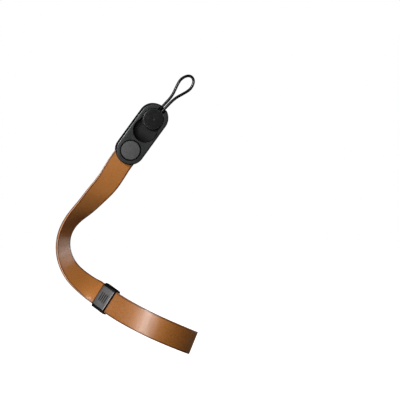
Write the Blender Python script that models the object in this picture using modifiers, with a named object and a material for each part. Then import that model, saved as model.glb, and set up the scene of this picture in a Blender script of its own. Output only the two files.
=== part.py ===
"""Camera wrist strap: a leather band that loops round the wrist through a slider,
with an oval quick-release housing at its other end and a cord anchor clipped into it.

Metres, +Z up. The origin is the middle of the wrist loop. +X runs to the wearer's
outer side of the loop and +Y away from the side on which the faces are seen.
"""

import math

import bmesh
import bpy
import numpy as np
from mathutils import Matrix, Vector

# Leather band
STRAP_WIDTH = 0.0192
STRAP_THICKNESS = 0.0022
STRAP_EDGE_ROUND = 0.0005
STRAP_END_INSET = 0.0010
STRAP_SPACING = 0.0022

# Loop round the wrist, an ellipse that is drawn out to a point at the slider
WRIST_BREADTH = 0.0602
WRIST_DEPTH = 0.0475
LOOP_SLOPE = math.radians(22.3)
LOOP_PITCH = math.radians(6.5)
LOOP_STATIONS = 12
REAR_BEND_SHARE = 0.6
REAR_BEND_STATIONS = 8

# Slider
SLIDER_LENGTH = 0.0124
SLIDER_SIDE_WALL = 0.0012
SLIDER_FRONT_WALL = 0.0014
SLIDER_REAR_WALL = 0.0009
SLIDER_CORNER = 0.0020
SLIDER_STANDOFF = 0.0174
SLIDER_FORWARD = 0.0042
SLIDER_LIFT = 0.0063
LIFT_POWER = 3
LAYER_GAP = 0.0005
PLATE_THICKNESS = 0.0009
PLATE_RECESS = 0.0007
PLATE_BAND = 0.0026
PLATE_INSET = 0.0004
PLATE_BEVEL = 0.0002

# Rivet that holds the end of the loop in the slider
RIVET_RADIUS = 0.0014
RIVET_HEAD_RADIUS = 0.0026
RIVET_HEAD_TOP = 0.0021
RIVET_HEAD_HEIGHT = 0.0007

# Lead from the housing down to the slider
LEAD_RISE = 0.1106
LEAD_BULGE = 0.0372
LEAD_BACK = 0.0286

# Housing, a flat oval box. Its turn is in degrees, as the roll of the lead is.
HOUSING_RADIUS = 0.0119
HOUSING_SPAN = 0.0321
HOUSING_DEPTH = 0.0100
HOUSING_BEVEL = 0.0012
HOUSING_SLOPE = math.radians(54.0)
HOUSING_TURN = 12.6
STRAP_LEVEL = 0.0040
STRAP_TAIL = 0.0090

# Grey cap over the magnet at the housing's lower end
CAP_RADIUS = 0.0076
CAP_THICKNESS = 0.0026
CAP_EDGE = 0.0003
GROOVE_WIDTH = 0.0009
GROOVE_DEPTH = 0.0008

# Anchor disc, and the keyhole that it slides into
ANCHOR_PLACE = 0.0312
FLANGE_RADIUS = 0.0092
FLANGE_THICKNESS = 0.0026
BUTTON_RADIUS = 0.0082
BUTTON_HEIGHT = 0.0022
DISC_EDGE = 0.0004
DIMPLE_RADIUS = 0.0011
DIMPLE_FLOOR = 0.0008
DIMPLE_DEPTH = 0.0004
ENTRY_RADIUS = 0.0097
ENTRY_OFFSET = 0.0112
KEYHOLE_FLOOR = 0.0046

# Cord of the anchor
CORD_DIAMETER = 0.0023
CORD_TURN = math.radians(8.0)
NOTCH_WIDTH = 0.0062

# Play between pieces that touch
CLEARANCE = 0.0003

ROUND_SIDES = 48
TANGENT_PASSES = 4
CUT_OVERRUN = 0.001

# Rows of the lead from the housing's rim to the slider. out, back and up are shares of
# LEAD_BULGE, LEAD_BACK and LEAD_RISE from the slider, roll is the band's turn in degrees.
LEAD_ROWS = (
    # out, back, up, roll
    (-0.338, 0.155, 1.000, HOUSING_TURN),
    (-0.064, 0.205, 0.860, 20),
    (0.213, 0.350, 0.756, 33),
    (0.489, 0.560, 0.661, 47),
    (0.767, 0.785, 0.572, 60),
    (0.970, 0.950, 0.461, 65),
    (1.000, 1.000, 0.326, 61),
    (0.837, 0.900, 0.201, 51),
    (0.573, 0.655, 0.116, 39),
    (0.295, 0.315, 0.059, 22),
)

# Route of the cord from the disc to the tip of its loop, one strand. along and side are
# metres from the disc's centre, sink is metres below the middle of its flange.
CORD_ROUTE = (
    # along, side, sink
    (0.0097, 0.0013, 0.0000),
    (0.0125, 0.0013, 0.0000),
    (0.0165, 0.0013, 0.0001),
    (0.0210, 0.0014, 0.0004),
    (0.0255, 0.0020, 0.0008),
    (0.0300, 0.0033, 0.0013),
    (0.0345, 0.0047, 0.0018),
    (0.0390, 0.0054, 0.0022),
    (0.0430, 0.0045, 0.0025),
    (0.0458, 0.0024, 0.0027),
    (0.0466, 0.0000, 0.0028),
)


def clear_scene():
    """Start from an empty file."""
    for thing in list(bpy.data.objects):
        bpy.data.objects.remove(thing)


def new_collection(name):
    """A collection linked to the scene."""
    made = bpy.data.collections.new(name)
    bpy.context.scene.collection.children.link(made)
    return made


def new_material(name, colour, roughness, metallic=0.0):
    """A Principled material with one colour."""
    made = bpy.data.materials.new(name)
    made.use_nodes = True
    shader = made.node_tree.nodes["Principled BSDF"]
    shader.inputs["Base Color"].default_value = (*colour, 1.0)
    shader.inputs["Roughness"].default_value = roughness
    shader.inputs["Metallic"].default_value = metallic
    return made


def add_object(name, mesh, home, matrix, material=None):
    """Put a mesh into a collection as a named object."""
    made = bpy.data.objects.new(name, mesh)
    home.objects.link(made)
    made.matrix_world = matrix
    if material is not None:
        mesh.materials.append(material)
    return made


def mesh_from(shape, name):
    """Turn a bmesh into a mesh and free it."""
    bmesh.ops.recalc_face_normals(shape, faces=shape.faces)
    mesh = bpy.data.meshes.new(name)
    shape.to_mesh(mesh)
    shape.free()
    return mesh


def box_mesh(name, low, high):
    """A box between two corners."""
    shape = bmesh.new()
    bmesh.ops.create_cube(shape, size=1.0)
    size = [top - bottom for bottom, top in zip(low, high)]
    middle = [(top + bottom) / 2 for bottom, top in zip(low, high)]
    bmesh.ops.scale(shape, vec=size, verts=shape.verts)
    bmesh.ops.translate(shape, vec=middle, verts=shape.verts)
    return mesh_from(shape, name)


def cylinder_mesh(name, radius, low, high, place=(0.0, 0.0)):
    """An upright cylinder between two heights."""
    shape = bmesh.new()
    bmesh.ops.create_cone(shape, cap_ends=True, segments=ROUND_SIDES,
                          radius1=radius, radius2=radius, depth=high - low)
    middle = (place[0], place[1], (low + high) / 2)
    bmesh.ops.translate(shape, vec=middle, verts=shape.verts)
    return mesh_from(shape, name)


def prism_mesh(name, outline, low, high):
    """A flat outline in X and Y, drawn up from one height to another."""
    shape = bmesh.new()
    corners = [shape.verts.new((x, y, low)) for x, y in outline]
    floor = shape.faces.new(corners)
    drawn = bmesh.ops.extrude_face_region(shape, geom=[floor])
    lifted = [part for part in drawn["geom"] if isinstance(part, bmesh.types.BMVert)]
    bmesh.ops.translate(shape, vec=(0, 0, high - low), verts=lifted)
    return mesh_from(shape, name)


def arc(centre, radius, first, last, steps):
    """Points on an arc, angles in radians."""
    angles = [first + (last - first) * step / steps for step in range(steps + 1)]
    return [(centre[0] + radius * math.cos(a), centre[1] + radius * math.sin(a)) for a in angles]


def stadium(start, end, radius):
    """Outline of a slot with round ends between two places on the X axis."""
    steps = ROUND_SIDES // 2
    right = arc((end, 0), radius, -math.pi / 2, math.pi / 2, steps)
    left = arc((start, 0), radius, math.pi / 2, 3 * math.pi / 2, steps)
    return right + left


def rounded_rectangle(width, height, radius, steps=5):
    """Outline of a rectangle with round corners about the origin."""
    points = []
    for turn, (side, level) in enumerate(((1, 1), (-1, 1), (-1, -1), (1, -1))):
        centre = (side * (width / 2 - radius), level * (height / 2 - radius))
        first = turn * math.pi / 2
        points += arc(centre, radius, first, first + math.pi / 2, steps)
    return points


def turned_mesh(name, profile):
    """A profile in X and Z, listed from the axis at the top round to the axis below."""
    shape = bmesh.new()
    points = [shape.verts.new((radius, 0, height)) for radius, height in profile]
    for first, second in zip(points, points[1:]):
        shape.edges.new((first, second))
    mesh = bpy.data.meshes.new(name)
    shape.to_mesh(mesh)
    shape.free()
    return mesh


def add_screw(piece):
    """Turn a profile once about its own Z axis."""
    screw = piece.modifiers.new("turned", "SCREW")
    screw.angle = 2 * math.pi
    screw.steps = ROUND_SIDES
    screw.render_steps = ROUND_SIDES
    screw.use_merge_vertices = True
    screw.merge_threshold = 0.00001


def add_bevel(piece, width, segments=2):
    """Round the sharp edges of a piece."""
    bevel = piece.modifiers.new("bevel", "BEVEL")
    bevel.width = width
    bevel.segments = segments
    bevel.limit_method = "ANGLE"
    bevel.angle_limit = math.radians(40)


def add_cut(piece, cutter):
    """Cut a piece with a cutter that is not built itself."""
    cutter.hide_render = True
    cutter.display_type = "WIRE"
    boolean = piece.modifiers.new("cut " + cutter.name, "BOOLEAN")
    boolean.operation = "DIFFERENCE"
    boolean.object = cutter


def shade_smooth(piece):
    """Smooth shading with the corners kept sharp."""
    piece.data.shade_smooth()
    piece.data.set_sharp_from_angle(angle=math.radians(35))


def spline(rows, first_slope, last_slope, spacing):
    """Cubic spline through rows, clamped at both ends. Returns the points and slopes."""
    rows = np.array(rows, dtype=float)
    chords = np.linalg.norm(np.diff(rows[:, :3], axis=0), axis=1)
    count = len(rows)
    system = np.zeros((count, count))
    right = np.zeros_like(rows)
    system[0, 0] = 1
    system[-1, -1] = 1
    right[0] = first_slope
    right[-1] = last_slope
    for row in range(1, count - 1):
        before = chords[row - 1]
        after = chords[row]
        system[row, row - 1] = 1 / before
        system[row, row] = 2 / before + 2 / after
        system[row, row + 1] = 1 / after
        right[row] = 3 * (rows[row] - rows[row - 1]) / before ** 2
        right[row] += 3 * (rows[row + 1] - rows[row]) / after ** 2
    slopes = np.linalg.solve(system, right)
    points = [rows[0]]
    ways = [slopes[0]]
    for row, chord in enumerate(chords):
        steps = max(1, round(chord / spacing))
        rise = rows[row + 1] - rows[row]
        start = slopes[row] * chord
        end = slopes[row + 1] * chord
        for step in range(1, steps + 1):
            t = step / steps
            bend = 3 * rise - 2 * start - end
            twist = start + end - 2 * rise
            points.append(rows[row] + t * start + t ** 2 * bend + t ** 3 * twist)
            ways.append((start + 2 * t * bend + 3 * t ** 2 * twist) / chord)
    return np.array(points), np.array(ways)


def touch_angle(place, half_breadth, half_depth, side):
    """Angle on an ellipse where the line from an outer place touches it."""
    across = place[0] / half_breadth
    along = place[1] / half_depth
    return math.atan2(along, across) + side * math.acos(1 / math.hypot(across, along))


class Loop:
    """The wrist loop in its own plane, with the slider at its point, lifted off the plane."""

    def __init__(self):
        turned = Matrix.Rotation(LOOP_SLOPE, 3, "Y") @ Matrix.Rotation(-LOOP_PITCH, 3, "X")
        self.right, self.back, self.axis = turned.transposed()
        self.half_breadth = WRIST_BREADTH / 2 + STRAP_THICKNESS / 2
        self.half_depth = WRIST_DEPTH / 2 + STRAP_THICKNESS / 2
        self.slider = Vector((-(WRIST_BREADTH / 2 + SLIDER_STANDOFF), -SLIDER_FORWARD))
        self.first = touch_angle(self.slider, self.half_breadth, self.half_depth, 1)

    def on_ellipse(self, angle):
        """Place of the band's middle line in the loop's plane where it lies on the wrist."""
        return Vector((self.half_breadth * math.cos(angle), self.half_depth * math.sin(angle)))

    def lift(self, across):
        """How far the band has risen from the plane towards the slider."""
        span = self.half_breadth - self.slider.x
        return SLIDER_LIFT * ((self.half_breadth - across) / span) ** LIFT_POWER

    def in_plane(self, point):
        """A point's place in the loop's plane, across and behind."""
        return Vector((point.dot(self.right), point.dot(self.back)))

    def raised(self, place):
        """A place in the loop's plane as a point in space, lifted with the band."""
        return self.right * place.x + self.back * place.y + self.axis * self.lift(place.x)

    def slider_matrix(self):
        """X along the band, Y across it, Z out of the slider's face."""
        centre = self.raised(self.slider)
        touch = self.raised(self.on_ellipse(self.first))
        flat = touch - centre
        flat -= self.axis * flat.dot(self.axis)
        flat.normalize()
        span = self.half_breadth - self.slider.x
        along = (flat - self.axis * flat.dot(self.right) * LIFT_POWER * SLIDER_LIFT / span).normalized()
        face = along.cross(self.axis).normalized()
        matrix = Matrix((along, face.cross(along), face)).transposed().to_4x4()
        matrix.translation = centre
        return matrix

    def rear_bend(self, slider, mouth):
        """Places on the round bend from the wrist to the rear mouth, and where it leaves the wrist."""
        start = self.in_plane(mouth)
        forward = self.in_plane(slider.to_3x3().col[0]).normalized()
        inward = Vector((-forward.y, forward.x))
        radius = REAR_BEND_SHARE * (-self.half_breadth - start.x)

        def on_bend(turn):
            return start + radius * (forward * math.sin(turn) + inward * (1 - math.cos(turn)))

        turn = math.pi / 2
        for _ in range(TANGENT_PASSES):
            leave = on_bend(turn)
            last = touch_angle(leave, self.half_breadth, self.half_depth, -1)
            way = self.on_ellipse(last) - leave
            turn = math.atan2(way.dot(inward), way.dot(forward))
        shares = [step / REAR_BEND_STATIONS for step in range(REAR_BEND_STATIONS, 0, -1)]
        return [on_bend(turn * share) for share in shares], last

    def stations(self, slider):
        """Points from the slider's front layer round the wrist to its rear layer."""
        mouth = slider @ Vector((SLIDER_LENGTH / 2, 0, 0))
        rear = slider @ Vector((SLIDER_LENGTH / 2, 0, -STRAP_THICKNESS - LAYER_GAP))
        bend, last = self.rear_bend(slider, rear)
        last -= 2 * math.pi * math.floor((last - self.first) / (2 * math.pi))
        turn = (last - self.first) / (LOOP_STATIONS - 1)
        wrist = [self.on_ellipse(self.first + turn * step) for step in range(LOOP_STATIONS)]
        return [mouth, *(self.raised(place) for place in wrist + bend), rear]


def housing_matrix(rim):
    """X along the housing to the anchor, Y across it, Z out of its face."""
    turn = math.radians(90 + HOUSING_TURN)
    turned = Matrix.Rotation(-HOUSING_SLOPE, 4, "Y") @ Matrix.Rotation(turn, 4, "X")
    local_rim = Vector((-HOUSING_RADIUS, 0, STRAP_LEVEL))
    return Matrix.Translation(rim - turned @ local_rim) @ turned


def lead_points(slider_point):
    """The lead's stations as points in space, with the roll in radians."""
    rows = []
    for out, back, up, roll in LEAD_ROWS:
        step = Vector((-out * LEAD_BULGE, back * LEAD_BACK, up * LEAD_RISE))
        rows.append((*(slider_point + step), math.radians(roll)))
    return rows


def band_roll(forward, across):
    """Turn of the band about its own way, from lying flat to the view."""
    flat = forward.cross(Vector((0, 1, 0))).normalized()
    return math.atan2(across.dot(flat.cross(forward)), across.dot(flat))


def band_sections(loop, slider, housing, lead):
    """The band's middle line from end to end as pairs of a point and the way across."""
    along_housing = housing.to_3x3().col[0]
    across_housing = -housing.to_3x3().col[1]
    along = slider.to_3x3().col[0]
    across_slider = slider.to_3x3().col[1]
    rim = Vector(lead[0][:3])
    sections = [(rim + along_housing * STRAP_TAIL, across_housing)]
    sections.append((rim + along_housing * STRAP_TAIL / 2, across_housing))

    left_mouth = slider @ Vector((-SLIDER_LENGTH / 2, 0, 0))
    rows = [*lead, (*left_mouth, band_roll(along, across_slider))]
    points, ways = spline(rows, (*-along_housing, 0.0), (*along, 0.0), STRAP_SPACING)
    for point, way in zip(points, ways):
        forward = Vector(way[:3]).normalized()
        flat = forward.cross(Vector((0, 1, 0))).normalized()
        upright = flat.cross(forward)
        across = flat * math.cos(point[3]) + upright * math.sin(point[3])
        sections.append((Vector(point[:3]), across))

    sections.append((slider.translation.copy(), across_slider))
    points, ways = spline(loop.stations(slider), along, -along, STRAP_SPACING)
    for point, way in zip(points, ways):
        forward = Vector(way).normalized()
        sections.append((Vector(point), loop.axis - forward * loop.axis.dot(forward)))

    rear_mouth = Vector(points[-1])
    for share in (0.5, 1.0):
        length = (SLIDER_LENGTH - STRAP_END_INSET) * share
        sections.append((rear_mouth - along * length, across_slider))
    return sections


def build_strap(home, cutters, loop, slider, housing, lead):
    """The leather band, one strip from the housing to the rivet."""
    shape = bmesh.new()
    pairs = []
    for point, across in band_sections(loop, slider, housing, lead):
        half = across.normalized() * STRAP_WIDTH / 2
        pairs.append((shape.verts.new(point - half), shape.verts.new(point + half)))
    for (left, right), (next_left, next_right) in zip(pairs, pairs[1:]):
        shape.faces.new((left, right, next_right, next_left))
    mesh = mesh_from(shape, "strap")
    leather = new_material("tan leather", (0.40, 0.16, 0.045), 0.5)
    strap = add_object("strap", mesh, home, Matrix.Identity(4), leather)
    shell = strap.modifiers.new("leather", "SOLIDIFY")
    shell.thickness = STRAP_THICKNESS
    shell.offset = 0.0
    shell.use_even_offset = True
    add_bevel(strap, STRAP_EDGE_ROUND)
    layer_level = -(STRAP_THICKNESS + LAYER_GAP)
    low = layer_level - STRAP_THICKNESS
    high = layer_level + STRAP_THICKNESS / 2 + LAYER_GAP / 2
    hole = cylinder_mesh("rivet hole", RIVET_RADIUS + CLEARANCE, low, high)
    add_cut(strap, add_object("rivet hole", hole, cutters, slider))
    return strap


def build_slider(home, cutters, slider):
    """The slider: a black frame, its face plate, and the rivet behind."""
    layers = 2 * STRAP_THICKNESS + LAYER_GAP
    cavity_top = STRAP_THICKNESS / 2 + CLEARANCE
    cavity_bottom = cavity_top - layers - 2 * CLEARANCE
    cavity_half = STRAP_WIDTH / 2 + CLEARANCE
    top = cavity_top + SLIDER_FRONT_WALL
    bottom = cavity_bottom - SLIDER_REAR_WALL
    breadth = 2 * (cavity_half + SLIDER_SIDE_WALL)
    half_length = SLIDER_LENGTH / 2

    outline = rounded_rectangle(breadth, top - bottom, SLIDER_CORNER)
    stand = Matrix.Translation((0, 0, (top + bottom) / 2))
    lay_down = Matrix(((0, 0, 1, 0), (1, 0, 0, 0), (0, 1, 0, 0), (0, 0, 0, 1)))
    mesh = prism_mesh("slider_frame", outline, -half_length, half_length)
    black = new_material("black slider", (0.012, 0.012, 0.013), 0.4)
    mesh.transform(stand @ lay_down)
    frame = add_object("slider_frame", mesh, home, slider, black)
    add_bevel(frame, PLATE_BEVEL)
    reach = half_length + CUT_OVERRUN
    cavity = box_mesh("slider cavity", (-reach, -cavity_half, cavity_bottom),
                      (reach, cavity_half, cavity_top))
    add_cut(frame, add_object("slider cavity", cavity, cutters, slider))
    plate_half = breadth / 2 - PLATE_BAND
    recess = box_mesh("plate recess", (-reach, -plate_half - CLEARANCE, top - PLATE_RECESS),
                      (reach, plate_half + CLEARANCE, top + CUT_OVERRUN))
    add_cut(frame, add_object("plate recess", recess, cutters, slider))
    wall_hole = cylinder_mesh("wall hole", RIVET_RADIUS + CLEARANCE,
                              bottom - CUT_OVERRUN, cavity_bottom + CUT_OVERRUN)
    add_cut(frame, add_object("wall hole", wall_hole, cutters, slider))

    plate_low = top - PLATE_RECESS + CLEARANCE
    plate_end = half_length - PLATE_INSET
    mesh = box_mesh("slider_plate", (-plate_end, -plate_half, plate_low),
                    (plate_end, plate_half, plate_low + PLATE_THICKNESS))
    gunmetal = new_material("gunmetal", (0.12, 0.12, 0.12), 0.4, 0.8)
    plate = add_object("slider_plate", mesh, home, slider, gunmetal)
    add_bevel(plate, PLATE_BEVEL)

    head = bottom - CLEARANCE
    tip = cavity_bottom + CLEARANCE + STRAP_THICKNESS
    profile = ((0, tip), (RIVET_RADIUS, tip), (RIVET_RADIUS, head), (RIVET_HEAD_RADIUS, head),
               (RIVET_HEAD_RADIUS, head - RIVET_HEAD_HEIGHT / 2),
               (RIVET_HEAD_TOP, head - RIVET_HEAD_HEIGHT), (0, head - RIVET_HEAD_HEIGHT))
    steel = new_material("dark steel", (0.08, 0.08, 0.08), 0.4, 1.0)
    rivet = add_object("slider_rivet", turned_mesh("slider_rivet", profile), home, slider, steel)
    add_screw(rivet)
    return frame, plate, rivet


def build_housing(home, cutters, housing):
    """The oval housing with its keyhole, cap recess, cord notch and band slot."""
    mesh = prism_mesh("housing", stadium(0, HOUSING_SPAN, HOUSING_RADIUS), 0, HOUSING_DEPTH)
    nylon = new_material("black nylon", (0.03, 0.031, 0.033), 0.55)
    body = add_object("housing", mesh, home, housing, nylon)
    add_bevel(body, HOUSING_BEVEL)

    over = HOUSING_DEPTH + CUT_OVERRUN
    entry = ANCHOR_PLACE - ENTRY_OFFSET
    lip_under = KEYHOLE_FLOOR + CLEARANCE + FLANGE_THICKNESS + CLEARANCE
    recess_radius = CAP_RADIUS + CLEARANCE
    recess_floor = HOUSING_DEPTH - CAP_THICKNESS - CLEARANCE
    slot_half = STRAP_WIDTH / 2 + CLEARANCE
    slot_rise = STRAP_THICKNESS / 2 + CLEARANCE
    slot_end = STRAP_TAIL + CLEARANCE - HOUSING_RADIUS
    flange_slot = stadium(entry, ANCHOR_PLACE, FLANGE_RADIUS + CLEARANCE)
    button_slot = stadium(entry, ANCHOR_PLACE, BUTTON_RADIUS + CLEARANCE)
    cuts = (
        cylinder_mesh("entry pocket", ENTRY_RADIUS, KEYHOLE_FLOOR, over, (entry, 0)),
        prism_mesh("flange slot", flange_slot, KEYHOLE_FLOOR, lip_under),
        prism_mesh("button slot", button_slot, lip_under - CUT_OVERRUN, over),
        cylinder_mesh("cap recess", recess_radius, recess_floor, over),
        cylinder_mesh("cap groove", CAP_RADIUS + GROOVE_WIDTH, HOUSING_DEPTH - GROOVE_DEPTH, over),
        box_mesh("band slot", (-HOUSING_RADIUS - CUT_OVERRUN, -slot_half, STRAP_LEVEL - slot_rise),
                 (slot_end, slot_half, STRAP_LEVEL + slot_rise)),
    )
    for cut in cuts:
        add_cut(body, add_object(cut.name, cut, cutters, housing))
    reach = HOUSING_SPAN + HOUSING_RADIUS - ANCHOR_PLACE + 2 * CUT_OVERRUN
    notch = box_mesh("cord notch", (BUTTON_RADIUS, -NOTCH_WIDTH / 2, KEYHOLE_FLOOR),
                     (reach, NOTCH_WIDTH / 2, over))
    add_cut(body, add_object("cord notch", notch, cutters, anchor_matrix(housing)))
    return body


def anchor_matrix(housing):
    """The anchor's place in the keyhole, with X along its cord."""
    seat = Matrix.Translation((ANCHOR_PLACE, 0, 0))
    return housing @ seat @ Matrix.Rotation(-CORD_TURN, 4, "Z")


def build_cap(home, housing):
    """The grey cap at the housing's lower end."""
    low = HOUSING_DEPTH - CAP_THICKNESS
    profile = ((0, HOUSING_DEPTH), (CAP_RADIUS - CAP_EDGE, HOUSING_DEPTH),
               (CAP_RADIUS, HOUSING_DEPTH - CAP_EDGE), (CAP_RADIUS, low), (0, low))
    grey = new_material("grey cap", (0.10, 0.10, 0.10), 0.75)
    cap = add_object("magnet_cap", turned_mesh("magnet_cap", profile), home, housing, grey)
    add_screw(cap)
    return cap


def build_anchor(home, housing):
    """The anchor disc: a flange under the lips, a button with a dimple."""
    low = KEYHOLE_FLOOR + CLEARANCE
    step = low + FLANGE_THICKNESS
    top = step + BUTTON_HEIGHT
    profile = (
        (0, top - DIMPLE_DEPTH),
        (DIMPLE_FLOOR, top - DIMPLE_DEPTH),
        (DIMPLE_RADIUS, top),
        (BUTTON_RADIUS - DISC_EDGE, top),
        (BUTTON_RADIUS, top - DISC_EDGE),
        (BUTTON_RADIUS, step),
        (FLANGE_RADIUS - DISC_EDGE, step),
        (FLANGE_RADIUS, step - DISC_EDGE),
        (FLANGE_RADIUS, low + DISC_EDGE),
        (FLANGE_RADIUS - DISC_EDGE, low),
        (0, low),
    )
    black = new_material("black anchor", (0.02, 0.02, 0.021), 0.45)
    mesh = turned_mesh("anchor_disc", profile)
    disc = add_object("anchor_disc", mesh, home, anchor_matrix(housing), black)
    add_screw(disc)
    return disc


def build_cord(home, housing):
    """The anchor's cord: out through the notch, round a loop and back."""
    middle = KEYHOLE_FLOOR + CLEARANCE + FLANGE_THICKNESS / 2
    out = [(along, side, middle - sink) for along, side, sink in CORD_ROUTE]
    back = [(along, -side, height) for along, side, height in reversed(out[:-1])]
    points, ways = spline(out + back, (1, 0, 0), (-1, 0, 0), 2 * CORD_DIAMETER)
    curve = bpy.data.curves.new("anchor_cord", "CURVE")
    curve.dimensions = "3D"
    curve.bevel_depth = CORD_DIAMETER / 2
    curve.bevel_resolution = 2
    curve.use_fill_caps = True
    line = curve.splines.new("POLY")
    line.points.add(len(points) - 1)
    for place, point in zip(line.points, points):
        place.co = (*point, 1)
    cord = bpy.data.objects.new("anchor_cord", curve)
    home.objects.link(cord)
    cord.matrix_world = anchor_matrix(housing)
    curve.materials.append(new_material("black cord", (0.01, 0.01, 0.011), 0.35))
    return cord


def main():
    """Build the whole strap."""
    clear_scene()
    home = new_collection("camera_wrist_strap")
    cutters = new_collection("cutters")
    loop = Loop()
    slider = loop.slider_matrix()
    lead = lead_points(slider.translation)
    housing = housing_matrix(Vector(lead[0][:3]))
    build_strap(home, cutters, loop, slider, housing, lead)
    build_slider(home, cutters, slider)
    build_housing(home, cutters, housing)
    build_cap(home, housing)
    build_anchor(home, housing)
    build_cord(home, housing)
    for piece in home.objects:
        if piece.type == "MESH":
            shade_smooth(piece)


main()
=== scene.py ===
"""Looks of the camera wrist strap: leather band, slider, quick-release housing and corded anchor."""

import math

import bmesh
import bpy
import numpy as np
from mathutils import Matrix, Vector, noise


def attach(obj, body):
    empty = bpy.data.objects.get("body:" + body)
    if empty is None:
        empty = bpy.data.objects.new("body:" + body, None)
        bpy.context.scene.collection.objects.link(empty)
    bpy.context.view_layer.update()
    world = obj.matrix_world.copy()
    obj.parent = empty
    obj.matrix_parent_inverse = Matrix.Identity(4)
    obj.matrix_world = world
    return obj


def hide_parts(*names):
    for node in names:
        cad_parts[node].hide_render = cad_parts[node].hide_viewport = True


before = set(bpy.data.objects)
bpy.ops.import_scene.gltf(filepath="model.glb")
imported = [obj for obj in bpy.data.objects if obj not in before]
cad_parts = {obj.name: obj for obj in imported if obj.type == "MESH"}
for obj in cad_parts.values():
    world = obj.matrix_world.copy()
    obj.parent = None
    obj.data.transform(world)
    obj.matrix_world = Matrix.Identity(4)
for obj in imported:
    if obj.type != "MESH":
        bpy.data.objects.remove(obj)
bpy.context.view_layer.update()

# Leather band
STRAP_WIDTH = 0.0192
STRAP_THICKNESS = 0.0022
STRAP_ROUND = 0.0006
STRAP_SPACING = 0.0007
STRAP_END_INSET = 0.0010
STRAP_WAVE = 0.00006
WAVES_PER_METRE = 90
# Painted shade of the slider on the band at its mouths
MOUTH_SHADE_LEFT = 0.0013
MOUTH_SHADE_FADE = 0.0006
# Painted light and shade: the band is paler where light falls on it and darker where it turns away, along
# its length.
LIGHT_AND_SHADE_ALONG = (
    # how far along from the housing's rim, how pale, as painted light and shade
    (0.000, 0.8),
    (0.060, 1.0),
    (0.100, 0.7),
    (0.125, 0.4),
    (0.146, 0.8),
    (0.165, 0.1),
    (0.200, 0.6),
    (0.212, 0.5),
    (0.224, 0.0),
    (0.236, 0.0),
    (0.250, 0.8),
    (0.270, 0.5),
)
# Painted shade on the inner edge where the band curves and that edge turns away from the light.
INNER_EDGE_SHADE = (
    # how far along, how much wider the inner dark border is as painted shade, in millimetres
    (0.070, 0.0),
    (0.085, 0.8),
    (0.110, 0.8),
    (0.135, 0.0),
)
FACE_STEPS = 14
EDGE_STEPS = 3
CORNER_STEPS = 4

# Zones of the leather, in millimetres round the section from the middle of the cut edge.
# Each pair is where a zone starts to show and where it is full, or the other way round.
BACK_ENDS = (-1.9, -1.5)
CORE_STARTS = (-0.05, 0.25)
CORE_ENDS = (1.00, 1.30)
FACE_STARTS = (1.70, 2.15)
ZONE_WOBBLE = 0.12

# Loop round the wrist
WRIST_BREADTH = 0.0602
WRIST_DEPTH = 0.0475
LOOP_SLOPE = math.radians(22.3)
LOOP_PITCH = math.radians(6.5)
LOOP_STATIONS = 12
REAR_BEND_SHARE = 0.6
REAR_BEND_STATIONS = 8
TANGENT_PASSES = 4

# Slider
SLIDER_LENGTH = 0.0124
SLIDER_SIDE_WALL = 0.0012
SLIDER_FRONT_WALL = 0.0014
SLIDER_REAR_WALL = 0.0009
SLIDER_CORNER = 0.0020
SLIDER_STANDOFF = 0.0174
SLIDER_FORWARD = 0.0042
SLIDER_LIFT = 0.0063
LIFT_POWER = 3
SLIDER_EDGE = 0.0002
SLIDER_EDGE_STEPS = 3
LAYER_GAP = 0.0005
PLATE_THICKNESS = 0.0009
PLATE_RECESS = 0.0007
PLATE_BAND = 0.0026
PLATE_INSET = 0.0004
PLATE_EDGE = 0.00025
# Width of the painted highlight on the plate's edge at the wrist's side
PLATE_HIGHLIGHT_WIDTH = 0.0005
GRIP_LENGTH = 0.0076
GRIP_WIDTH = 0.0009
GRIP_CORNER = 0.000441
GRIP_PITCH = 0.0019
GRIP_DEPTH = 0.0002
GRIP_LINES = 4
RIVET_RADIUS = 0.0014

# Housing. Its turn is in degrees, as the roll of the lead is.
HOUSING_RADIUS = 0.0119
HOUSING_SPAN = 0.0321
HOUSING_DEPTH = 0.0100
HOUSING_EDGE = 0.0012
HOUSING_EDGE_STEPS = 4
HOUSING_SLOPE = math.radians(54.0)
HOUSING_TURN = 12.6
STRAP_LEVEL = 0.0040
STRAP_TAIL = 0.0090
SEAM_LEVEL = 0.0062
SEAM_WIDTH = 0.00025
SEAM_DEPTH = 0.0002
MOUTH_CHAMFER = 0.0003

# Lead from the housing down to the slider
LEAD_RISE = 0.1106
LEAD_BULGE = 0.0372
LEAD_BACK = 0.0286
LEAD_ROWS = (
    # out, back, up, roll
    (-0.338, 0.155, 1.000, HOUSING_TURN),
    (-0.064, 0.205, 0.860, 20),
    (0.213, 0.350, 0.756, 33),
    (0.489, 0.560, 0.661, 47),
    (0.767, 0.785, 0.572, 60),
    (0.970, 0.950, 0.461, 65),
    (1.000, 1.000, 0.326, 61),
    (0.837, 0.900, 0.201, 51),
    (0.573, 0.655, 0.116, 39),
    (0.295, 0.315, 0.059, 22),
)

# Grey cap
CAP_RADIUS = 0.0076
CAP_THICKNESS = 0.0026
CAP_EDGE = 0.0003
CAP_EDGE_STEPS = 4
GROOVE_WIDTH = 0.0009
GROOVE_DEPTH = 0.0008

# Anchor disc and its keyhole
ANCHOR_PLACE = 0.0312
FLANGE_RADIUS = 0.0092
FLANGE_THICKNESS = 0.0026
BUTTON_RADIUS = 0.0082
BUTTON_HEIGHT = 0.0022
DISC_EDGE = 0.0004
BUTTON_EDGE_STEPS = 5
FLANGE_EDGE_STEPS = 4
DIMPLE_RADIUS = 0.0011
DIMPLE_FLOOR = 0.0008
DIMPLE_DEPTH = 0.0004
ENTRY_RADIUS = 0.0097
ENTRY_OFFSET = 0.0112
ENTRY_PLACE = ANCHOR_PLACE - ENTRY_OFFSET
KEYHOLE_FLOOR = 0.0046
NOTCH_WIDTH = 0.0062
# Painted shade on the pocket's floor: full up to the first, gone by the second, from the pocket's edge
# away from the anchor
POCKET_SHADE_FULL = 0.0003
POCKET_SHADE_GONE = 0.0090

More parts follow.
